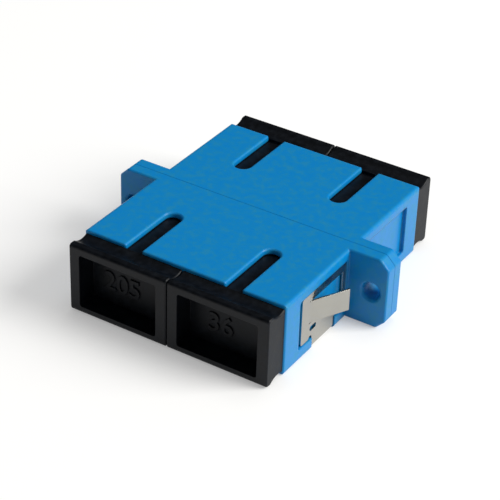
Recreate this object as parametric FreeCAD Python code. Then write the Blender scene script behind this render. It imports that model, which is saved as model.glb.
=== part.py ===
import FreeCAD, Part
import math
import os

# Duplex SC fibre adapter with dust caps, in millimetres.
# X runs across the two ports, Y along the fibre, Z up.  The origin is the point
# where the weld plane (Y = 0) meets the middle of the body, half way between
# the two optical axes.

# ---- Driving dimensions --------------------------------------------------

# Body: two identical mouldings, welded face to face at Y = 0
BODY_WIDTH = 25.6            # fits a 26.0 mm wide panel cut-out
BODY_HEIGHT = 8.8            # fits a 9.5 mm high panel cut-out
HALF_LENGTH = 14.5           # weld plane to port mouth
BODY_EDGE_RADIUS = 0.4
MOUTH_EDGE_RADIUS = 0.2

# Flange: half its thickness is on each moulding
FLANGE_WIDTH = 35.2
FLANGE_HALF_THICKNESS = 1.45
FLANGE_CORNER = 1.1          # cut across each corner
FLANGE_CORNER_RADIUS = 0.5   # where a cut meets a side
FLANGE_EDGE_CHAMFER = 0.15
FLANGE_HOLE_PITCH = 31.2
FLANGE_HOLE_DIAMETER = 2.1   # for an M2 screw
FLANGE_HOLE_CHAMFER = 0.25
SEAM_STEP = 0.03             # witness step left round the weld

# Ports: each takes a 9.0 x 7.4 mm SC plug, 12.7 mm apart as duplex plugs are
PORT_PITCH = 12.7
PORT_WIDTH = 9.2
PORT_HEIGHT = 7.5
PORT_LEAD_IN = 0.25
KEY_SLOT_WIDTH = 2.1
KEY_SLOT_LENGTH = 8.4
KEY_SLOT_CHAMFER = 0.15

# Shallow recess in each side of a moulding, for the plate of the panel clip
RECESS_NEAR = 1.85           # from the weld plane
RECESS_FAR = 11.6
RECESS_TOP = 3.2
RECESS_BOTTOM = -2.95
RECESS_DEPTH = 0.45
RECESS_CORNER = 0.3

# Groove for the clip's strap, under the body and up to the recesses
STRAP_NEAR = 4.0
STRAP_FAR = 8.7
STRAP_CLEARANCE = 0.05
STRAP_SIDE_DEPTH = 0.4
STRAP_UNDER_DEPTH = 0.25

# Latch insert: plate, sleeve holder and two latch hooks in one moulding
PLATE_WIDTH = 10.4
PLATE_HEIGHT = 7.8
PLATE_THICKNESS = 1.2
PLATE_CLEARANCE = 0.05
HOLDER_RADIUS = 2.25
HOLDER_BORE_RADIUS = 1.68
HOLDER_BORE_DEPTH = 5.8
HOLDER_LENGTH = 7.0
HOLDER_MOUTH_RADIUS = 1.45
HOLDER_CHAMFER = 0.3
COLLAR_RADIUS = 2.9
COLLAR_LENGTH = 2.0
HOOK_INNER = 3.6
HOOK_OUTER = 4.35
HOOK_NOSE = 3.1
HOOK_LENGTH = 10.6
HOOK_TIP_BEVEL = 0.2
HOOK_TIP_LAND = 0.1          # flat left between the tip's bevel and the nose
HOOK_NOSE_START = 0.8        # these three from the tip
HOOK_NOSE_END = 1.4
HOOK_NOSE_FOOT = 1.6
HOOK_HALF_HEIGHT = 1.4

# Split alignment sleeve
SLEEVE_LENGTH = 11.4
SLEEVE_OUTER_RADIUS = 1.6
SLEEVE_BORE_RADIUS = 1.25
SLEEVE_SLIT = 0.5

# Panel clip: one stamped and bent strip of stainless sheet
CLIP_THICKNESS = 0.2
CLIP_FACE = 12.7             # outer face of each side plate, from the middle
CLIP_NEAR = 1.95
CLIP_FAR = 10.95
CLIP_TOP = 3.1
CLIP_BOTTOM = -2.85
CLIP_BEND_RADIUS = 0.5       # outside of the bends under the body
CLIP_CORNER = 0.3
CLIP_STRAP_GAP = 0.02        # between the strap and the groove's floor
CLIP_RELIEF = 0.35           # radius of the notches beside each bend
WINDOW_NEAR = 2.5
WINDOW_FAR = 9.4
WINDOW_TOP = 2.1
WINDOW_BOTTOM = -0.8
TONGUE_TOP = 2.0
TONGUE_BOTTOM = -0.7
TONGUE_ANGLE = 27.0
TONGUE_STRAIGHT = 4.55
TONGUE_BEND_RADIUS = 1.2
CLIP_EYE_LENGTH = 1.35
CLIP_EYE_WIDTH = 0.6
CLIP_EYE_AT = (-8.55, -1.6)  # middle of the oblong hole, Y and Z

# Dust cap: a grip outside the port and a hollow skirt inside it
CAP_WIDTH = 12.6             # leaves 0.1 mm between neighbours
CAP_SHOULDER_GAP = 0.03
CAP_FRONT = 17.6             # front face, from the weld plane
CAP_RIM_BACK = 16.8
CAP_RIM_HALF_HEIGHT = 4.25
CAP_NECK_HALF_HEIGHT = 4.0
CAP_GROOVE_HALF_HEIGHT = 3.8
CAP_GROOVE_MIDDLE = 15.5
CAP_EDGE_RADIUS = 0.4
CAP_RIM_RADIUS = 0.3         # where the groove runs out into the rim
CAP_SIDE_CHAMFER = 0.12
POCKET_WIDTH = 10.0
POCKET_TOP = 3.2
POCKET_BOTTOM = -3.4
POCKET_DEPTH = 2.6
POCKET_CORNER = 0.3
SKIRT_WIDTH = 8.9
SKIRT_HEIGHT = 7.25
SKIRT_END = 5.2              # inner end of the skirt, from the weld plane
SKIRT_WALL = 0.75
SKIRT_FLOOR = 13.4           # bottom of the hollow, from the weld plane
WEB_INNER = 2.4
WEB_OUTER = 3.0

# ---- Derived values --------------------------------------------------------

HALF_WIDTH = BODY_WIDTH / 2
HALF_HEIGHT = BODY_HEIGHT / 2
PORT_X = PORT_PITCH / 2
HOLE_X = FLANGE_HOLE_PITCH / 2
BEYOND = 5.0                 # how far a cutting tool reaches past the surface
TOUCHING = 1e-4              # points this close to a plane lie in it

Vector = FreeCAD.Vector
ALONG_X = Vector(1, 0, 0)
ALONG_Y = Vector(0, 1, 0)
ALONG_Z = Vector(0, 0, 1)
ORIGIN = Vector(0, 0, 0)


# ---- Helpers ---------------------------------------------------------------

def block(x_range, y_range, z_range):
    """A box between two values on each axis."""
    size = [high - low for low, high in (x_range, y_range, z_range)]
    return Part.makeBox(*size, Vector(x_range[0], y_range[0], z_range[0]))


def prism(points, direction):
    """A straight-sided outline pushed along a direction."""
    outline = Part.makePolygon(points + [points[0]])
    return Part.Face(outline).extrude(direction)


def rod(radius, start, end):
    """A round bar from one point to another."""
    axis = end - start
    return Part.makeCylinder(radius, axis.Length, start, axis)


def cone(start_radius, end_radius, start, end):
    """A round bar that changes radius from one point to another."""
    axis = end - start
    return Part.makeCone(start_radius, end_radius, axis.Length, start, axis)


def edges_along(shape, axis):
    """The straight edges that run along one axis."""
    found = []
    for edge in shape.Edges:
        if isinstance(edge.Curve, Part.Line) and abs(edge.Curve.Direction.dot(axis)) > 1 - TOUCHING:
            found.append(edge)
    return found


def edges_in_plane(shape, axis, position):
    """The edges that lie in the plane across one axis at a position."""
    def in_plane(edge):
        return all(abs(vertex.Point.dot(axis) - position) < TOUCHING for vertex in edge.Vertexes)
    return [edge for edge in shape.Edges if in_plane(edge)]


def rounded_at_front(shape, axis, front, radius):
    """The shape with the edges along one axis rounded where they lie in its front face."""
    edges = [edge for edge in edges_along(shape, axis) if abs(edge.CenterOfMass.y - front) < TOUCHING]
    return shape.makeFillet(radius, edges)


def half_turned(shape):
    """The same moulding, turned half way round the Z axis."""
    turned = shape.copy()
    turned.rotate(ORIGIN, ALONG_Z, 180)
    return turned


def moved(shape, x):
    """The same shape, moved along X."""
    copy = shape.copy()
    copy.translate(Vector(x, 0, 0))
    return copy


def both_sides(shape):
    """The shape and its mirror image in the YZ plane."""
    return shape.fuse(shape.mirror(ORIGIN, ALONG_X))


# ---- Housing ---------------------------------------------------------------

def body_bar():
    """The plain outside of one body half, with rounded long edges and mouth edges."""
    bar = block((-HALF_WIDTH, HALF_WIDTH), (-HALF_LENGTH, 0), (-HALF_HEIGHT, HALF_HEIGHT))
    seen_from_above = rounded_at_front(bar, ALONG_Z, -HALF_LENGTH, MOUTH_EDGE_RADIUS)
    seen_from_side = rounded_at_front(bar, ALONG_X, -HALF_LENGTH, MOUTH_EDGE_RADIUS)
    bar = bar.makeFillet(BODY_EDGE_RADIUS, edges_along(bar, ALONG_Y))
    return bar.common(seen_from_above).common(seen_from_side)


def flange_outline(inset, thickness):
    """The flange's outline with cut corners, shrunk by an inset."""
    x = FLANGE_WIDTH / 2 - inset
    z = HALF_HEIGHT - inset
    cut = FLANGE_CORNER
    points = [(x, z - cut), (x - cut, z), (cut - x, z), (-x, z - cut),
              (-x, cut - z), (cut - x, -z), (x - cut, -z), (x, cut - z)]
    corners = [Vector(px, 0, pz) for px, pz in points]
    flange = prism(corners, Vector(0, -thickness, 0))
    return flange.makeFillet(FLANGE_CORNER_RADIUS, edges_along(flange, ALONG_Y))


def flange():
    """One half of the flange, with the edge of its outer face broken."""
    plain = flange_outline(0, FLANGE_HALF_THICKNESS)
    return plain.makeChamfer(FLANGE_EDGE_CHAMFER, edges_in_plane(plain, ALONG_Y, -FLANGE_HALF_THICKNESS))


def flange_holes():
    """The two screw holes with a slight chamfer at the flange face."""
    face = -FLANGE_HALF_THICKNESS
    radius = FLANGE_HOLE_DIAMETER / 2
    hole = rod(radius, Vector(HOLE_X, BEYOND, 0), Vector(HOLE_X, -BEYOND, 0))
    chamfer = cone(radius, radius + FLANGE_HOLE_CHAMFER,
                   Vector(HOLE_X, face + FLANGE_HOLE_CHAMFER, 0), Vector(HOLE_X, face, 0))
    return both_sides(hole.fuse(chamfer))


def seam_step():
    """What is left out round the weld plane, so that the seam shows."""
    return flange_outline(0, SEAM_STEP).cut(flange_outline(SEAM_STEP, SEAM_STEP))


def port():
    """The room for one plug, with a lead-in at the mouth and the insert's seat."""
    half_width = PORT_WIDTH / 2
    half_height = PORT_HEIGHT / 2
    room = block((-half_width, half_width), (-HALF_LENGTH - BEYOND, 0), (-half_height, half_height))
    seat_width = PLATE_WIDTH / 2 + PLATE_CLEARANCE
    seat_height = PLATE_HEIGHT / 2 + PLATE_CLEARANCE
    seat = block((-seat_width, seat_width), (-PLATE_THICKNESS, BEYOND), (-seat_height, seat_height))
    return room.fuse(seat).fuse(port_lead_in(half_width, half_height))


def port_lead_in(half_width, half_height):
    """The sloped edge round the mouth of a port."""
    def ring(y, grow):
        x = half_width + grow
        z = half_height + grow
        corners = [Vector(px, y, pz) for px, pz in ((x, z), (-x, z), (-x, -z), (x, -z), (x, z))]
        return Part.makePolygon(corners)
    inner = ring(-HALF_LENGTH + PORT_LEAD_IN, 0)
    outer = ring(-HALF_LENGTH, PORT_LEAD_IN)
    return Part.makeLoft([inner, outer], True, True)


def key_slot():
    """The slot for the plug's key, open at the mouth, with a round blind end."""
    radius = KEY_SLOT_WIDTH / 2
    end = -HALF_LENGTH + KEY_SLOT_LENGTH - radius
    top = HALF_HEIGHT + BEYOND
    straight = block((-radius, radius), (-HALF_LENGTH - BEYOND, end), (0, top))
    return straight.fuse(rod(radius, Vector(0, end, 0), Vector(0, end, top)))


def side_recess():
    """The shallow recess for the clip's plate, on the side towards +X."""
    recess = block((HALF_WIDTH - RECESS_DEPTH, HALF_WIDTH + BEYOND),
                   (-RECESS_FAR, -RECESS_NEAR), (RECESS_BOTTOM, RECESS_TOP))
    return recess.makeFillet(RECESS_CORNER, edges_along(recess, ALONG_X))


def strap_groove():
    """The groove that the strap lies in: down the side and under the body."""
    along = (-STRAP_FAR - STRAP_CLEARANCE, STRAP_CLEARANCE - STRAP_NEAR)
    side = block((HALF_WIDTH - STRAP_SIDE_DEPTH, HALF_WIDTH + BEYOND), along,
                 (-HALF_HEIGHT - BEYOND, RECESS_BOTTOM + RECESS_CORNER))
    under = block((-BEYOND, HALF_WIDTH + BEYOND), along,
                  (-HALF_HEIGHT - BEYOND, STRAP_UNDER_DEPTH - HALF_HEIGHT))
    return side.fuse(under)


def chamfer_slot_rims(half):
    """Break the top edges of the key slots."""
    def on_rim(edge):
        return abs(abs(edge.CenterOfMass.x) - PORT_X) < KEY_SLOT_WIDTH / 2 + TOUCHING
    rims = [edge for edge in edges_in_plane(half, ALONG_Z, HALF_HEIGHT) if on_rim(edge)]
    return half.makeChamfer(KEY_SLOT_CHAMFER, rims)


def housing_half():
    """The moulding on the -Y side of the weld."""
    half = body_bar().fuse(flange()).removeSplitter()
    for x in (-PORT_X, PORT_X):
        half = half.cut(moved(port(), x))
        half = half.cut(moved(key_slot(), x))
    half = chamfer_slot_rims(half.removeSplitter())
    half = half.cut(both_sides(side_recess()))
    half = half.cut(both_sides(strap_groove()))
    half = half.cut(flange_holes())
    return half.cut(seam_step())


# ---- Latch insert ----------------------------------------------------------

def hook():
    """One latch hook on the +X side, with its nose towards the sleeve holder."""
    tip = -HOOK_LENGTH
    outline = [(HOOK_OUTER, -PLATE_THICKNESS), (HOOK_OUTER, tip + 2 * HOOK_TIP_BEVEL),
               (HOOK_OUTER - HOOK_TIP_BEVEL, tip), (HOOK_INNER + HOOK_TIP_LAND, tip),
               (HOOK_NOSE, tip + HOOK_NOSE_START), (HOOK_NOSE, tip + HOOK_NOSE_END),
               (HOOK_INNER, tip + HOOK_NOSE_FOOT), (HOOK_INNER, -PLATE_THICKNESS)]
    points = [Vector(x, y, -HOOK_HALF_HEIGHT) for x, y in outline]
    return prism(points, Vector(0, 0, 2 * HOOK_HALF_HEIGHT))


def hook_window():
    """The opening in the plate that the mould core behind a hook's nose leaves."""
    return block((HOOK_NOSE, HOOK_INNER), (-PLATE_THICKNESS - BEYOND, BEYOND),
                 (-HOOK_HALF_HEIGHT, HOOK_HALF_HEIGHT))


def latch_insert():
    """The insert of one port on the -Y side: plate, sleeve holder and hooks."""
    plate = block((-PLATE_WIDTH / 2, PLATE_WIDTH / 2), (-PLATE_THICKNESS, 0),
                  (-PLATE_HEIGHT / 2, PLATE_HEIGHT / 2))
    plate = plate.cut(both_sides(hook_window()))
    shoulder = Vector(0, HOLDER_CHAMFER - HOLDER_LENGTH, 0)
    tip = Vector(0, -HOLDER_LENGTH, 0)
    holder = rod(HOLDER_RADIUS, ORIGIN, shoulder)
    holder = holder.fuse(cone(HOLDER_RADIUS, HOLDER_RADIUS - HOLDER_CHAMFER, shoulder, tip))
    collar = rod(COLLAR_RADIUS, ORIGIN, Vector(0, -COLLAR_LENGTH, 0))
    insert = plate.fuse(holder).fuse(collar).fuse(both_sides(hook()))
    bore = rod(HOLDER_BORE_RADIUS, Vector(0, BEYOND, 0), Vector(0, -HOLDER_BORE_DEPTH, 0))
    mouth = rod(HOLDER_MOUTH_RADIUS, ORIGIN, Vector(0, -HOLDER_LENGTH - BEYOND, 0))
    lead_in = cone(HOLDER_MOUTH_RADIUS, HOLDER_MOUTH_RADIUS + HOLDER_CHAMFER, shoulder, tip)
    return insert.cut(bore).cut(mouth).cut(lead_in).removeSplitter()


# ---- Alignment sleeve ------------------------------------------------------

def alignment_sleeve():
    """A split tube that lies on the bottom of its bore."""
    start = Vector(0, -SLEEVE_LENGTH / 2, 0)
    end = Vector(0, SLEEVE_LENGTH / 2, 0)
    tube = rod(SLEEVE_OUTER_RADIUS, start, end).cut(rod(SLEEVE_BORE_RADIUS, start, end))
    slit = block((-SLEEVE_SLIT / 2, SLEEVE_SLIT / 2), (start.y, end.y), (0, BEYOND))
    sleeve = tube.cut(slit)
    sleeve.translate(Vector(0, 0, SLEEVE_OUTER_RADIUS - HOLDER_BORE_RADIUS))
    return sleeve


# ---- Panel clip ------------------------------------------------------------

def clip_plate():
    """The flat side plate towards +X, with its window, eye and bend reliefs."""
    inner_face = CLIP_FACE - CLIP_THICKNESS
    thickness = (inner_face, CLIP_FACE)
    plate = block(thickness, (-CLIP_FAR, -CLIP_NEAR), (CLIP_BOTTOM, CLIP_TOP))
    plate = plate.makeFillet(CLIP_CORNER, edges_along(plate, ALONG_X))
    leg = block(thickness, (-STRAP_FAR, -STRAP_NEAR),
                (clip_underside() + CLIP_BEND_RADIUS, CLIP_BOTTOM + CLIP_CORNER))
    window = block(thickness, (-WINDOW_FAR, -WINDOW_NEAR), (WINDOW_BOTTOM, WINDOW_TOP))
    plate = plate.fuse(leg).cut(window).cut(clip_eye(inner_face))
    for y in (-STRAP_FAR - CLIP_RELIEF, -STRAP_NEAR + CLIP_RELIEF):
        relief = rod(CLIP_RELIEF, Vector(inner_face, y, CLIP_BOTTOM), Vector(CLIP_FACE, y, CLIP_BOTTOM))
        plate = plate.cut(relief)
    return plate


def clip_eye(inner_face):
    """The small oblong hole below the root of the tongue."""
    y, z = CLIP_EYE_AT
    radius = CLIP_EYE_WIDTH / 2
    reach = CLIP_EYE_LENGTH / 2 - radius
    eye = block((inner_face, CLIP_FACE), (y - reach, y + reach), (z - radius, z + radius))
    for end in (y - reach, y + reach):
        eye = eye.fuse(rod(radius, Vector(inner_face, end, z), Vector(CLIP_FACE, end, z)))
    return eye


def clip_tongue():
    """The spring tongue: it leaves the plate at its root in a bend, then runs straight."""
    angle = math.radians(TONGUE_ANGLE)
    inner_radius = TONGUE_BEND_RADIUS
    outer_radius = inner_radius + CLIP_THICKNESS
    centre = Vector(CLIP_FACE + inner_radius, -WINDOW_FAR, 0)

    def on_bend(radius, turn):
        return centre + Vector(-radius * math.cos(turn), radius * math.sin(turn), 0)

    run = Vector(math.sin(angle), math.cos(angle), 0) * TONGUE_STRAIGHT
    outer_end = on_bend(inner_radius, angle) + run
    inner_end = on_bend(outer_radius, angle) + run
    edges = [Part.Arc(on_bend(inner_radius, 0), on_bend(inner_radius, angle / 2),
                      on_bend(inner_radius, angle)).toShape(),
             Part.makeLine(on_bend(inner_radius, angle), outer_end),
             Part.makeLine(outer_end, inner_end),
             Part.makeLine(inner_end, on_bend(outer_radius, angle)),
             Part.Arc(on_bend(outer_radius, angle), on_bend(outer_radius, angle / 2),
                      on_bend(outer_radius, 0)).toShape(),
             Part.makeLine(on_bend(outer_radius, 0), on_bend(inner_radius, 0))]
    tongue = Part.Face(Part.Wire(edges)).extrude(Vector(0, 0, TONGUE_TOP - TONGUE_BOTTOM))
    tongue.translate(Vector(0, 0, TONGUE_BOTTOM))
    return tongue


def clip_underside():
    """Height of the strap's lower face, inside the groove."""
    return STRAP_UNDER_DEPTH - HALF_HEIGHT - CLIP_THICKNESS - CLIP_STRAP_GAP


def clip_strap():
    """The strap under the body, from the middle to the bend at +X."""
    width = STRAP_FAR - STRAP_NEAR
    bottom = clip_underside()
    bend_x = CLIP_FACE - CLIP_BEND_RADIUS
    flat = block((0, bend_x), (-STRAP_FAR, -STRAP_NEAR), (bottom, bottom + CLIP_THICKNESS))
    centre = Vector(bend_x, -STRAP_FAR, bottom + CLIP_BEND_RADIUS)
    outside = Part.makeCylinder(CLIP_BEND_RADIUS, width, centre, ALONG_Y)
    inside = Part.makeCylinder(CLIP_BEND_RADIUS - CLIP_THICKNESS, width, centre, ALONG_Y)
    corner = block((bend_x, CLIP_FACE), (-STRAP_FAR, -STRAP_NEAR), (bottom, bottom + CLIP_BEND_RADIUS))
    return flat.fuse(outside.cut(inside).common(corner))


def panel_clip():
    """The whole clip: strap, two bends, two side plates and two tongues."""
    half = clip_plate().fuse(clip_strap()).fuse(clip_tongue())
    return both_sides(half).removeSplitter()


# ---- Dust cap --------------------------------------------------------------

def cap_grip():
    """The grip outside the port: a rim with a finger groove above and below."""
    shoulder = -HALF_LENGTH - CAP_SHOULDER_GAP
    start = -CAP_WIDTH / 2

    def point(y, z):
        return Vector(start, y, z)

    def groove(sign, first, last):
        middle = point(-CAP_GROOVE_MIDDLE, sign * CAP_GROOVE_HALF_HEIGHT)
        return Part.Arc(first, middle, last).toShape()

    neck_top = point(shoulder, CAP_NECK_HALF_HEIGHT)
    rim_top = point(-CAP_RIM_BACK, CAP_RIM_HALF_HEIGHT)
    front_top = point(-CAP_FRONT, CAP_RIM_HALF_HEIGHT)
    front_bottom = point(-CAP_FRONT, -CAP_RIM_HALF_HEIGHT)
    rim_bottom = point(-CAP_RIM_BACK, -CAP_RIM_HALF_HEIGHT)
    neck_bottom = point(shoulder, -CAP_NECK_HALF_HEIGHT)
    edges = [groove(1, neck_top, rim_top), Part.makeLine(rim_top, front_top),
             Part.makeLine(front_top, front_bottom), Part.makeLine(front_bottom, rim_bottom),
             groove(-1, rim_bottom, neck_bottom), Part.makeLine(neck_bottom, neck_top)]
    grip = Part.Face(Part.Wire(edges)).extrude(Vector(CAP_WIDTH, 0, 0))
    grip = rounded_at_front(grip, ALONG_X, -CAP_FRONT, CAP_EDGE_RADIUS)
    grip = rounded_at_front(grip, ALONG_X, -CAP_RIM_BACK, CAP_RIM_RADIUS)
    sides = edges_in_plane(grip, ALONG_X, start) + edges_in_plane(grip, ALONG_X, -start)
    at_shoulder = edges_in_plane(grip, ALONG_Y, shoulder)
    outside = [edge for edge in sides if not any(edge.isSame(other) for other in at_shoulder)]
    return grip.makeChamfer(CAP_SIDE_CHAMFER, outside)


def cap_pocket():
    """The flat-bottomed pocket in the front of the grip."""
    pocket = block((-POCKET_WIDTH / 2, POCKET_WIDTH / 2), (-CAP_FRONT - BEYOND, POCKET_DEPTH - CAP_FRONT),
                   (POCKET_BOTTOM, POCKET_TOP))
    return pocket.makeFillet(POCKET_CORNER, edges_along(pocket, ALONG_Y))


def cap_skirt():
    """The hollow skirt: full-width top and bottom, with webs inside the hooks."""
    shoulder = -HALF_LENGTH - CAP_SHOULDER_GAP
    half_width = SKIRT_WIDTH / 2
    half_height = SKIRT_HEIGHT / 2
    skirt = block((-half_width, half_width), (shoulder, -SKIRT_END), (-half_height, half_height))
    inside = half_height - SKIRT_WALL
    hollow = block((-WEB_INNER, WEB_INNER), (-SKIRT_FLOOR, 0), (-inside, inside))
    channel = block((WEB_OUTER, half_width + BEYOND), (-SKIRT_FLOOR, 0), (-inside, inside))
    return skirt.cut(hollow).cut(both_sides(channel))


def dust_cap():
    """The cap of one port on the -Y side."""
    return cap_grip().fuse(cap_skirt()).cut(cap_pocket()).removeSplitter()


# ---- Assembly --------------------------------------------------------------

def adapter():
    """Every piece of the adapter by name."""
    half = housing_half()
    pieces = {"housing_front": half, "housing_rear": half_turned(half), "panel_clip": panel_clip()}
    for side, x in (("left", -PORT_X), ("right", PORT_X)):
        insert = moved(latch_insert(), x)
        cap = moved(dust_cap(), x)
        other_side = "right" if side == "left" else "left"
        pieces["latch_insert_front_" + side] = insert
        pieces["latch_insert_rear_" + other_side] = half_turned(insert)
        pieces["alignment_sleeve_" + side] = moved(alignment_sleeve(), x)
        pieces["dust_cap_front_" + side] = cap
        pieces["dust_cap_rear_" + other_side] = half_turned(cap)
    return pieces


def main():
    """Write one STEP file for each piece."""
    os.makedirs("parts", exist_ok=True)
    for name, shape in adapter().items():
        shape.exportStep(os.path.join("parts", name + ".step"))
        box = shape.BoundBox
        print(f"{name:28s} valid {shape.isValid()}  solids {len(shape.Solids)}  "
              f"{box.XLength:.2f} x {box.YLength:.2f} x {box.ZLength:.2f} mm  {shape.Volume:.1f} mm3")


main()
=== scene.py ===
# %% [markdown]
# # A duplex fibre adapter with its dust caps
# The adapter joins two pairs of fibre plugs, end to end, in a patch panel. Its
# construction is already fixed: two blue halves welded at the flange, a bent
# steel clip, four black caps, and the inserts and sleeves inside. This lesson
# gives each piece the finish of its real material, adds the small raised mould
# numbers, and sets up the light, the floor and the camera.

# %% Load the construction
import math
import bpy
from mathutils import Matrix, Vector


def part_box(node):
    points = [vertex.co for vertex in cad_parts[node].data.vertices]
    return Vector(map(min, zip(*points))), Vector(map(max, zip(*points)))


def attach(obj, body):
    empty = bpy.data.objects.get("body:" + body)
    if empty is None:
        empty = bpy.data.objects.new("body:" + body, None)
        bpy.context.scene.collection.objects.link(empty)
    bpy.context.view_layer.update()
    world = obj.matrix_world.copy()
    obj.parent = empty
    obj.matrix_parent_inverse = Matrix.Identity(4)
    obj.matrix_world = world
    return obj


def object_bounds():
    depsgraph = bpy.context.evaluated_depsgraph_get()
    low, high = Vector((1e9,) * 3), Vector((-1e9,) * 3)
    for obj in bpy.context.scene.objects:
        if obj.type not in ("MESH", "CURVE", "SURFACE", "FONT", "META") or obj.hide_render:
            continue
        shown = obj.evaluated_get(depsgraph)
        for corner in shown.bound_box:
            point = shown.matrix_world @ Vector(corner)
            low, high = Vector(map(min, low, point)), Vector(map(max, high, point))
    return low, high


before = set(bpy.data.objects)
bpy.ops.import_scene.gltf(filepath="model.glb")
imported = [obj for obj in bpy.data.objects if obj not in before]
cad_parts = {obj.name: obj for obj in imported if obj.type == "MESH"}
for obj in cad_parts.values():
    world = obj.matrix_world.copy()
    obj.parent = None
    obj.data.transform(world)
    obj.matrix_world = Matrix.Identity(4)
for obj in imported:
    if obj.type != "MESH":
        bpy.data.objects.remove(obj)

MM = 0.001
cad_low, cad_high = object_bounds()
print("size in mm:", [round((high - low) / MM, 1) for low, high in zip(cad_low, cad_high)])

# %% [markdown]
# ## Colours
# Colours are written as sRGB hex values, as a paint chart gives them. The
# renderer works with linear light, so one function turns the first into the
# second. Nothing else in the lesson needs to know about it.


# %% From hex to linear light
def linear(hex_colour):
    """The linear red, green, blue and alpha of a colour such as #037FBF."""
    values = []
    for start in (1, 3, 5):
        level = int(hex_colour[start:start + 2], 16) / 255
        values.append(level / 12.92 if level <= 0.04045 else ((level + 0.055) / 1.055) ** 2.4)
    return (*values, 1.0)


print("body blue in linear light:", [round(value, 3) for value in linear("#037FBF")])

# %% [markdown]
# ## One way to add a node
# A material is a small tree of nodes. Every node is added in the same way: its
# kind, then its settings, then what goes into each of its sockets. A socket
# takes either a plain value or the output of an earlier node, which is linked.


# %% The node helper
def add(tree, kind, sockets=None, **settings):
    """A new node with its settings made and its sockets filled or linked."""
    node = tree.nodes.new(kind)
    for name, value in settings.items():
        setattr(node, name, value)
    for name, value in (sockets or {}).items():
        if isinstance(value, bpy.types.NodeSocket):
            tree.links.new(value, node.inputs[name])
        else:
            node.inputs[name].default_value = value
    return node


def per_mm(size):
    """The texture scale at which one feature is this many millimetres wide."""
    return 1.0 / (size * MM)


NOISE_LOW, NOISE_HIGH = 0.3, 0.7     # nearly all the values of a noise texture lie in between


# %% [markdown]
# ## Soft edges
# Steel moulds never have a perfectly sharp corner, so no edge of a moulding is
# quite sharp either. A bevel in the mesh would show that, but the construction's
# meshes stay as they are, so a Bevel node turns the shading round each edge
# instead. The two body halves meet flush at the weld, so their edges stay sharp
# within a given distance of the weld plane, which is Y = 0, and the softening
# fades in only beyond it.

# %% Soften the edges
SHARP_SHARE = 0.6            # of that distance: all sharp up to here, then it fades in


def soft_edges(tree, place, radius_mm, weld_mm):
    """A normal that rounds the edges, but leaves them sharp this close to the weld plane."""
    rounded = add(tree, "ShaderNodeBevel", {"Radius": radius_mm * MM}, samples=8).outputs["Normal"]
    if weld_mm == 0:
        return rounded
    along = add(tree, "ShaderNodeSeparateXYZ", {"Vector": place}).outputs["Y"]
    from_weld = add(tree, "ShaderNodeMath", {0: along}, operation="ABSOLUTE").outputs[0]
    away = add(tree, "ShaderNodeMapRange", {"Value": from_weld, "From Min": SHARP_SHARE * weld_mm * MM,
                                            "From Max": weld_mm * MM}).outputs["Result"]
    flat = add(tree, "ShaderNodeNewGeometry").outputs["Normal"]
    mixed = add(tree, "ShaderNodeMix", {"Factor": away}, data_type="VECTOR")
    tree.links.new(flat, mixed.inputs["A"])
    tree.links.new(rounded, mixed.inputs["B"])
    return mixed.outputs["Result"]


# %% [markdown]
# ## Moulded plastics
# Three plastics are used, and all are injection moulded, so they share one
# recipe. The pigment never mixes quite evenly and leaves faint clouds about a
# millimetre wide, and the gloss changes a little with them. The mould's
# spark-eroded face leaves a fine satin grain. The real grain is about 0.05 mm,
# too fine to show, so it is drawn at about 0.25 mm. Images could carry all this,
# but noise in the object's own coordinates needs no unwrapping, and it keeps its
# real size on every piece.

# %% A recipe for moulded plastic
CLOUD_STOPS = (0.34, 0.5, 0.66)      # where the noise reaches each of the three colours
GLOSS_SPREAD = 0.04                  # change of roughness from cloud to cloud
PLASTIC_IOR = 1.5


def moulded_plastic(name, colours, roughness, gloss_level, cloud_mm, grain_mm, relief_mm, edge_mm,
                    weld_mm=0):
    """A moulded plastic: pigment clouds in three colours, satin grain, soft edges."""
    material = bpy.data.materials.new(name)
    material.use_nodes = True
    tree = material.node_tree
    shader = tree.nodes["Principled BSDF"]
    place = add(tree, "ShaderNodeTexCoord").outputs["Object"]
    cloud = add(tree, "ShaderNodeTexNoise", {"Vector": place, "Scale": per_mm(cloud_mm),
                                             "Detail": 3.0, "Roughness": 0.65})
    tint = add(tree, "ShaderNodeValToRGB", {"Fac": cloud.outputs["Fac"]})
    tint.color_ramp.elements.new(CLOUD_STOPS[1])
    for stop, at, colour in zip(tint.color_ramp.elements, CLOUD_STOPS, colours):
        stop.position = at
        stop.color = linear(colour)
    gloss = add(tree, "ShaderNodeMapRange", {
        "Value": cloud.outputs["Fac"], "From Min": NOISE_LOW, "From Max": NOISE_HIGH,
        "To Min": roughness - GLOSS_SPREAD, "To Max": roughness + GLOSS_SPREAD})
    grain = add(tree, "ShaderNodeTexNoise", {"Vector": place, "Scale": per_mm(grain_mm),
                                             "Detail": 3.0})
    relief = add(tree, "ShaderNodeBump", {"Height": grain.outputs["Fac"], "Distance": relief_mm * MM,
                                          "Normal": soft_edges(tree, place, edge_mm, weld_mm)})
    tree.links.new(tint.outputs["Color"], shader.inputs["Base Color"])
    tree.links.new(gloss.outputs["Result"], shader.inputs["Roughness"])
    tree.links.new(relief.outputs["Normal"], shader.inputs["Normal"])
    shader.inputs["IOR"].default_value = PLASTIC_IOR
    shader.inputs["Specular IOR Level"].default_value = gloss_level
    return material


# %% [markdown]
# ## Blue PBT, for the body
# The two body halves are PBT, a tough polyester. The eye reads an even strong
# blue with the faintest greenish clouds, which pales where light grazes it. The
# body's edges are rounded by about 0.3 mm.

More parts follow.
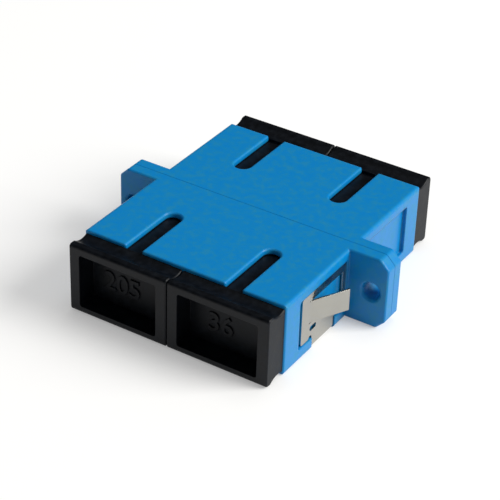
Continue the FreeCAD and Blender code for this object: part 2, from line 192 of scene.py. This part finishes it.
# %% Blue PBT
blue_pbt = moulded_plastic("blue_pbt_moulded_satin", ("#007DC4", "#037FBF", "#1682B5"),
                           roughness=0.34, gloss_level=0.3, cloud_mm=0.9, grain_mm=0.3,
                           relief_mm=0.002, edge_mm=0.32, weld_mm=0.5)
print("made", blue_pbt.name)

# %% [markdown]
# ## A pale fleck
# One pale spot lies in the top of the front half, near the clip. It is a soft egg shape, half a
# millimetre long, which is mixed into the blue's colour.

# %% A fleck in the blue
FLECK_SIZE = Vector((0.6, 0.36, 0.36)) * MM
FLECK_FROM_SIDE = 1.44 * MM          # in from the clip's outer face
FLECK_FROM_WELD = 4.75 * MM
FLECK_CORE = 0.4                     # the share of its length that has its full colour


def fleck(material, middle, colour):
    """A pale spot of another colour in a material, round one place on the object."""
    tree = material.node_tree
    base = tree.nodes["Principled BSDF"].inputs["Base Color"]
    blue = base.links[0].from_socket
    place = add(tree, "ShaderNodeTexCoord").outputs["Object"]
    offset = add(tree, "ShaderNodeVectorMath", {0: place, 1: middle}, operation="SUBTRACT").outputs[0]
    scaled = add(tree, "ShaderNodeVectorMath", {0: offset, 1: FLECK_SIZE / 2},
                 operation="DIVIDE").outputs[0]
    distance = add(tree, "ShaderNodeVectorMath", {0: scaled}, operation="LENGTH").outputs["Value"]
    inside = add(tree, "ShaderNodeMapRange", {"Value": distance, "From Min": 1.0,
                                              "From Max": FLECK_CORE})
    spotted = add(tree, "ShaderNodeMix", {"Factor": inside.outputs["Result"], "A": blue},
                  data_type="RGBA")
    spotted.inputs["B"].default_value = linear(colour)
    tree.links.new(spotted.outputs["Result"], base)


clip_low, clip_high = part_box("panel_clip")
fleck_middle = Vector((clip_high.x - FLECK_FROM_SIDE, -FLECK_FROM_WELD, cad_high.z))
fleck(blue_pbt, fleck_middle, "#7C9DBD")
print("fleck at", [round(value / MM, 2) for value in fleck_middle], "mm")

# %% [markdown]
# ## Black polyethylene, for the caps
# The caps are soft black polyethylene with a trace of blue. Straight on it is
# nearly black, and at a grazing angle its waxy skin shows a grey sheen.

# %% Black polyethylene
black_pe = moulded_plastic("black_polyethylene_moulded", ("#03060B", "#070B12", "#0E131A"),
                           roughness=0.46, gloss_level=0.22, cloud_mm=0.8, grain_mm=0.25,
                           relief_mm=0.01, edge_mm=0.1)
print("made", black_pe.name)

# %% [markdown]
# ## Ivory PBT, for the inserts
# The inserts and their hooks are unpigmented PBT, a warm ivory that is seen
# only when a cap is out.

# %% Ivory PBT
ivory_pbt = moulded_plastic("ivory_pbt_moulded", ("#D9D4C4", "#DDD9CB", "#E2DED1"),
                            roughness=0.4, gloss_level=0.5, cloud_mm=2.0, grain_mm=0.2,
                            relief_mm=0.003, edge_mm=0.08)
print("made", ivory_pbt.name)

# %% [markdown]
# ## Ground zirconia, for the sleeves
# The split sleeves are zirconia, ground and honed: a dense warm white ceramic
# with a clear gloss and the finest rings left round it by the wheel. The rings
# are really a few micrometres apart, and are drawn about 0.24 mm apart, which
# needs one small sum: at a scale of one, a wave texture has 20 / (2 pi) bands in
# a unit of length.

# %% Zirconia for the sleeves
RING_PITCH = 0.237                   # mm
RING_RELIEF = 0.001 * MM
BANDS_AT_SCALE_ONE = 20 / (2 * math.pi)
POLISHED, GROUND = 0.16, 0.26        # roughness between the rings and on their crests
MILK_PATCH = 1.5                     # mm
ZIRCONIA_IOR = 2.1
zirconia = bpy.data.materials.new("zirconia_ground_white")
zirconia.use_nodes = True
tree = zirconia.node_tree
place = add(tree, "ShaderNodeTexCoord")
rings = add(tree, "ShaderNodeTexWave", {
    "Vector": place.outputs["Object"], "Scale": per_mm(RING_PITCH) / BANDS_AT_SCALE_ONE,
    "Distortion": 0.3}, bands_direction="Y")
polish = add(tree, "ShaderNodeMapRange", {"Value": rings.outputs["Fac"], "To Min": POLISHED,
                                          "To Max": GROUND})
milk = add(tree, "ShaderNodeTexNoise", {"Vector": place.outputs["Object"],
                                        "Scale": per_mm(MILK_PATCH)})
whiteness = add(tree, "ShaderNodeMix", {"Factor": milk.outputs["Fac"]}, data_type="RGBA")
whiteness.inputs["A"].default_value = linear("#F1EEE4")
whiteness.inputs["B"].default_value = linear("#E9E5D8")
ring_relief = add(tree, "ShaderNodeBump", {"Height": rings.outputs["Fac"],
                                           "Distance": RING_RELIEF})
shader = tree.nodes["Principled BSDF"]
shader.inputs["IOR"].default_value = ZIRCONIA_IOR
tree.links.new(whiteness.outputs["Result"], shader.inputs["Base Color"])
tree.links.new(polish.outputs["Result"], shader.inputs["Roughness"])
tree.links.new(ring_relief.outputs["Normal"], shader.inputs["Normal"])
print("made", zirconia.name)

# %% [markdown]
# ## Cold-rolled stainless strip, for the clip
# The clip is stamped from cold-rolled stainless strip about 0.2 mm thick. The
# rolls leave fine lines along the strip, which here runs up the sides of the
# body and under it, so the lines lie across the fibre's direction. They are
# really 0.02 mm apart, and are drawn 0.1 mm apart and about 3 mm long. An
# anisotropic shader would stretch the highlights alone, so the lines are drawn
# with noise that is stretched along the strip, and they show up close too.
# Spring strip is never quite flat either: its middle stands out by 0.15 mm or
# so, as part of a circle, which turns what it mirrors a little from edge to edge.

# %% Stainless strip for the clip
LINE_PITCH = 0.1             # mm
LINE_LENGTH = 3.0            # mm
LINE_RELIEF = 0.002 * MM
BRIGHT, DULL = 0.14, 0.22    # roughness, from line to line
TINT_PATCH = 1.8             # mm
EDGE_RADIUS = 0.04 * MM
BOW_RADIUS = 64 * MM
steel = bpy.data.materials.new("stainless_strip_cold_rolled")
steel.use_nodes = True
tree = steel.node_tree
place = add(tree, "ShaderNodeTexCoord")
stretched = add(tree, "ShaderNodeMapping", {"Vector": place.outputs["Object"],
                                            "Scale": (per_mm(LINE_LENGTH), per_mm(LINE_PITCH),
                                                      per_mm(LINE_LENGTH))})
lines = add(tree, "ShaderNodeTexNoise", {"Vector": stretched.outputs["Vector"], "Scale": 1.0,
                                         "Detail": 3.0})
blotch = add(tree, "ShaderNodeTexNoise", {"Vector": place.outputs["Object"],
                                          "Scale": per_mm(TINT_PATCH), "Detail": 2.0})
shine = add(tree, "ShaderNodeMapRange", {
    "Value": lines.outputs["Fac"], "From Min": NOISE_LOW, "From Max": NOISE_HIGH,
    "To Min": BRIGHT, "To Max": DULL})
metal_tint = add(tree, "ShaderNodeMix", {"Factor": blotch.outputs["Fac"]}, data_type="RGBA")
metal_tint.inputs["A"].default_value = linear("#B2B0A8")
metal_tint.inputs["B"].default_value = linear("#A7A59F")
edge = add(tree, "ShaderNodeBevel", {"Radius": EDGE_RADIUS}, samples=6)
along = add(tree, "ShaderNodeSeparateXYZ", {"Vector": place.outputs["Object"]})
from_middle = add(tree, "ShaderNodeMath", {
    0: along.outputs["Y"], 1: (clip_low.y + clip_high.y) / 2}, operation="SUBTRACT")
squared = add(tree, "ShaderNodeMath", {0: from_middle.outputs[0], 1: 2.0}, operation="POWER")
sagitta = add(tree, "ShaderNodeMath", {0: squared.outputs[0], 1: -0.5 / BOW_RADIUS},
              operation="MULTIPLY")
bowed = add(tree, "ShaderNodeBump", {"Height": sagitta.outputs[0], "Distance": 1.0,
                                     "Normal": edge.outputs["Normal"]})
scratch = add(tree, "ShaderNodeBump", {"Height": lines.outputs["Fac"], "Distance": LINE_RELIEF,
                                       "Normal": bowed.outputs["Normal"]})
shader = tree.nodes["Principled BSDF"]
shader.inputs["Metallic"].default_value = 1.0
tree.links.new(metal_tint.outputs["Result"], shader.inputs["Base Color"])
tree.links.new(shine.outputs["Result"], shader.inputs["Roughness"])
tree.links.new(scratch.outputs["Normal"], shader.inputs["Normal"])
print("made", steel.name)

# %% [markdown]
# ## Dressing the pieces
# Each piece of the construction keeps its mesh, because its shape is already
# right. Only the material in its slots changes, by the kind of piece that its
# name says it is, so that all four caps, for one, are of the same black.

# %% Give every piece its material
finishes = {"housing": blue_pbt, "dust_cap": black_pe, "latch_insert": ivory_pbt,
            "alignment_sleeve": zirconia, "panel_clip": steel}
for name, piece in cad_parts.items():
    kind = next(kind for kind in finishes if name.startswith(kind))
    for material_slot in piece.material_slots:
        material_slot.material = finishes[kind]
    print(name, "->", finishes[kind].name)

# %% [markdown]
# ## Mould numbers
# Caps are moulded many at a time, and each cavity marks its caps with its own
# small number, raised on the floor of the pocket in the cap's face. A bump could
# only shade it, so plain numerals are turned into a thin solid: real geometry,
# which catches the light and throws a shadow.

# %% Raise a number in each cap's pocket
POCKET_DEPTH = 2.6 * MM
NUMBER_HEIGHT = 2.35 * MM
FIGURE_SHARE = 0.72          # of a font's size, the height of its figures
STROKE_SWELL = 0.07 * MM     # how much each stroke is thickened all round
NUMBER_RELIEF = 0.16 * MM
NUMBER_ASIDE = 1.1 * MM      # left of the pocket's middle
NUMBER_BELOW = 0.7 * MM
SUNK = 0.03 * MM             # how far a number's foot goes into the floor


def mould_number(cap_name, text):
    """Raised figures on the floor of one cap's pocket, facing out of the port."""
    low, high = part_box(cap_name)
    front = abs(low.y) > abs(high.y)
    floor_y = low.y + POCKET_DEPTH if front else high.y - POCKET_DEPTH
    outward = -1 if front else 1
    figures = bpy.data.curves.new(cap_name + "_number", "FONT")
    figures.body = text
    figures.size = NUMBER_HEIGHT / FIGURE_SHARE
    figures.align_x = "CENTER"
    figures.align_y = "CENTER"
    figures.extrude = (NUMBER_RELIEF + SUNK) / 2
    figures.offset = STROKE_SWELL
    figures.resolution_u = 4
    drawn = bpy.data.objects.new(cap_name + "_number_curve", figures)
    bpy.context.collection.objects.link(drawn)
    mesh = bpy.data.meshes.new_from_object(drawn)
    bpy.data.objects.remove(drawn)
    upright = Matrix.Rotation(math.radians(90), 4, "X")
    facing = Matrix.Rotation(0 if front else math.pi, 4, "Z")
    middle = Vector(((low.x + high.x) / 2 + outward * NUMBER_ASIDE,
                     floor_y + outward * (NUMBER_RELIEF - SUNK) / 2, -NUMBER_BELOW))
    mesh.transform(Matrix.Translation(middle) @ facing @ upright)
    number = bpy.data.objects.new(cap_name + "_number", mesh)
    bpy.context.collection.objects.link(number)
    number.data.materials.clear()
    number.data.materials.append(black_pe)
    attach(number, cap_name.replace("dust_cap", "cap"))
    return number


for cap_name, text in (("dust_cap_front_left", "205"), ("dust_cap_front_right", "36"),
                       ("dust_cap_rear_left", "41"), ("dust_cap_rear_right", "118")):
    number = mould_number(cap_name, text)
    print(number.name, len(number.data.polygons), "faces")

# %% [markdown]
# ## Floor and background
# The adapter lies on a plain white sheet. Paper under studio light shows white
# to the eye and in shiny surfaces. More light would do that too, but it would
# bleach the object, so the sheet has a little glow of its own for those rays
# only. It lights nothing, and the shadow on it stays.

# %% Lay the floor
FLOOR_SIZE = 3.0             # m
FLOOR_GLOW = 0.3             # where 1 is white


def plain_floor(height):
    """A large flat white sheet at one height."""
    half = FLOOR_SIZE / 2
    mesh = bpy.data.meshes.new("floor")
    corners = [(-half, -half, height), (half, -half, height),
               (half, half, height), (-half, half, height)]
    mesh.from_pydata(corners, [], [(0, 1, 2, 3)])
    sheet = bpy.data.objects.new("floor", mesh)
    bpy.context.collection.objects.link(sheet)
    return sheet


def seen_rays(tree):
    """One where a ray comes from the camera, a reflection or a clear body."""
    ray = add(tree, "ShaderNodeLightPath")
    direct = add(tree, "ShaderNodeMath", {
        0: ray.outputs["Is Camera Ray"], 1: ray.outputs["Is Glossy Ray"]}, operation="MAXIMUM")
    return add(tree, "ShaderNodeMath", {0: direct.outputs[0], 1: ray.outputs["Is Transmission Ray"]},
               operation="MAXIMUM").outputs[0]


floor = plain_floor(cad_low.z)
paper = bpy.data.materials.new("white_paper_matt")
paper.use_nodes = True
paper.cycles.emission_sampling = "NONE"
tree = paper.node_tree
glow = add(tree, "ShaderNodeMath", {0: seen_rays(tree), 1: FLOOR_GLOW}, operation="MULTIPLY")
shader = tree.nodes["Principled BSDF"]
shader.inputs["Base Color"].default_value = linear("#DCDCDC")
shader.inputs["Roughness"].default_value = 0.9
shader.inputs["Specular IOR Level"].default_value = 0.0
shader.inputs["Emission Color"].default_value = (1.0, 1.0, 1.0, 1.0)
tree.links.new(glow.outputs[0], shader.inputs["Emission Strength"])
floor.data.materials.append(paper)
print("floor at", round(cad_low.z / MM, 2), "mm")

# %% [markdown]
# ## The room
# To the eye the room is plain white. In reflections it is white at the horizon
# and darkens quickly towards an unlit ceiling, which is why the black tops of
# the caps stay black. What it adds to the light on the object is gentle.

# %% Make the room
ROOM_LIGHT = 0.32
CEILING = 0.02
WALL_TOP = 0.08              # how far up a direction points where the ceiling starts
world = bpy.data.worlds.new("studio")
world.use_nodes = True
bpy.context.scene.world = world
world.cycles.sampling_method = "NONE"
tree = world.node_tree
ray = add(tree, "ShaderNodeLightPath")
direction = add(tree, "ShaderNodeTexCoord")
height = add(tree, "ShaderNodeSeparateXYZ", {"Vector": direction.outputs["Generated"]})
wall = add(tree, "ShaderNodeMapRange", {"Value": height.outputs["Z"], "From Min": 0.0,
                                        "From Max": WALL_TOP, "To Min": 1.0, "To Max": CEILING})
mirrored = add(tree, "ShaderNodeMix", {"Factor": seen_rays(tree)}, data_type="FLOAT")
mirrored.inputs["A"].default_value = ROOM_LIGHT
tree.links.new(wall.outputs["Result"], mirrored.inputs["B"])
level = add(tree, "ShaderNodeMix", {"Factor": ray.outputs["Is Camera Ray"]}, data_type="FLOAT")
level.inputs["B"].default_value = 1.0
tree.links.new(mirrored.outputs["Result"], level.inputs["A"])
tree.links.new(level.outputs["Result"], tree.nodes["Background"].inputs["Strength"])
tree.nodes["Background"].inputs["Color"].default_value = (1.0, 1.0, 1.0, 1.0)
print("room light", ROOM_LIGHT)

# %% [markdown]
# ## Light
# A large soft window stands low on the right and a little behind. It brightens
# the right sides most, the tops less, and leaves the fronts to what the room
# and the sheet give back. A second, weak soft box hangs overhead. Both are very
# slightly warm, as daylight is.

# %% Hang the lamps
DAYLIGHT = (1.0, 0.99, 0.96)


def soft_box(name, azimuth, elevation, distance, size, watts, aim):
    """A square area lamp in a direction from the object, turned to face it."""
    lamp = bpy.data.lights.new(name, "AREA")
    lamp.shape = "SQUARE"
    lamp.size = size
    lamp.energy = watts
    lamp.color = DAYLIGHT
    box = bpy.data.objects.new(name, lamp)
    turn = math.radians(azimuth)
    rise = math.radians(elevation)
    outward = Vector((math.cos(turn) * math.cos(rise), math.sin(turn) * math.cos(rise),
                      math.sin(rise)))
    box.location = aim + outward * distance
    box.rotation_euler = (-outward).to_track_quat("-Z", "Y").to_euler()
    bpy.context.collection.objects.link(box)
    return box


centre = (cad_low + cad_high) / 2
window = soft_box("window_right", azimuth=22, elevation=33, distance=1.2, size=0.7, watts=17.0,
                  aim=centre)
overhead = soft_box("overhead", azimuth=80, elevation=75, distance=1.2, size=0.6, watts=2.0,
                    aim=centre)
for box in (window, overhead):
    print(box.name, "at", [round(value, 2) for value in box.location], "m")

# %% [markdown]
# ## Camera
# The camera looks down at the front right corner, over the clip. Its long lens
# keeps parallel edges nearly parallel, so the proportions read truly, and a
# roll of two degrees tips the whole picture slightly.

# %% Place the camera
AZIMUTH = math.radians(31.32)        # from straight in front, towards +X
ELEVATION = math.radians(33.11)
DISTANCE = 201.6 * MM
ROLL = math.radians(2.09)
AIM = Vector((-0.17, -0.78, -0.88)) * MM
LENS = 129.4                         # mm, on a 36 mm wide sensor

towards_camera = Vector((math.sin(AZIMUTH) * math.cos(ELEVATION),
                         -math.cos(AZIMUTH) * math.cos(ELEVATION), math.sin(ELEVATION)))
lens = bpy.data.cameras.new("camera")
lens.lens = LENS
lens.sensor_width = 36.0
lens.clip_start = 0.01
camera = bpy.data.objects.new("camera", lens)
looking = (-towards_camera).to_track_quat("-Z", "Y").to_matrix().to_4x4()
standing = Matrix.Translation(AIM + towards_camera * DISTANCE)
camera.matrix_world = standing @ looking @ Matrix.Rotation(ROLL, 4, "Z")
bpy.context.collection.objects.link(camera)
bpy.context.scene.camera = camera
bpy.context.scene.view_settings.view_transform = "Standard"
print("camera at", [round(value / MM, 1) for value in camera.location])
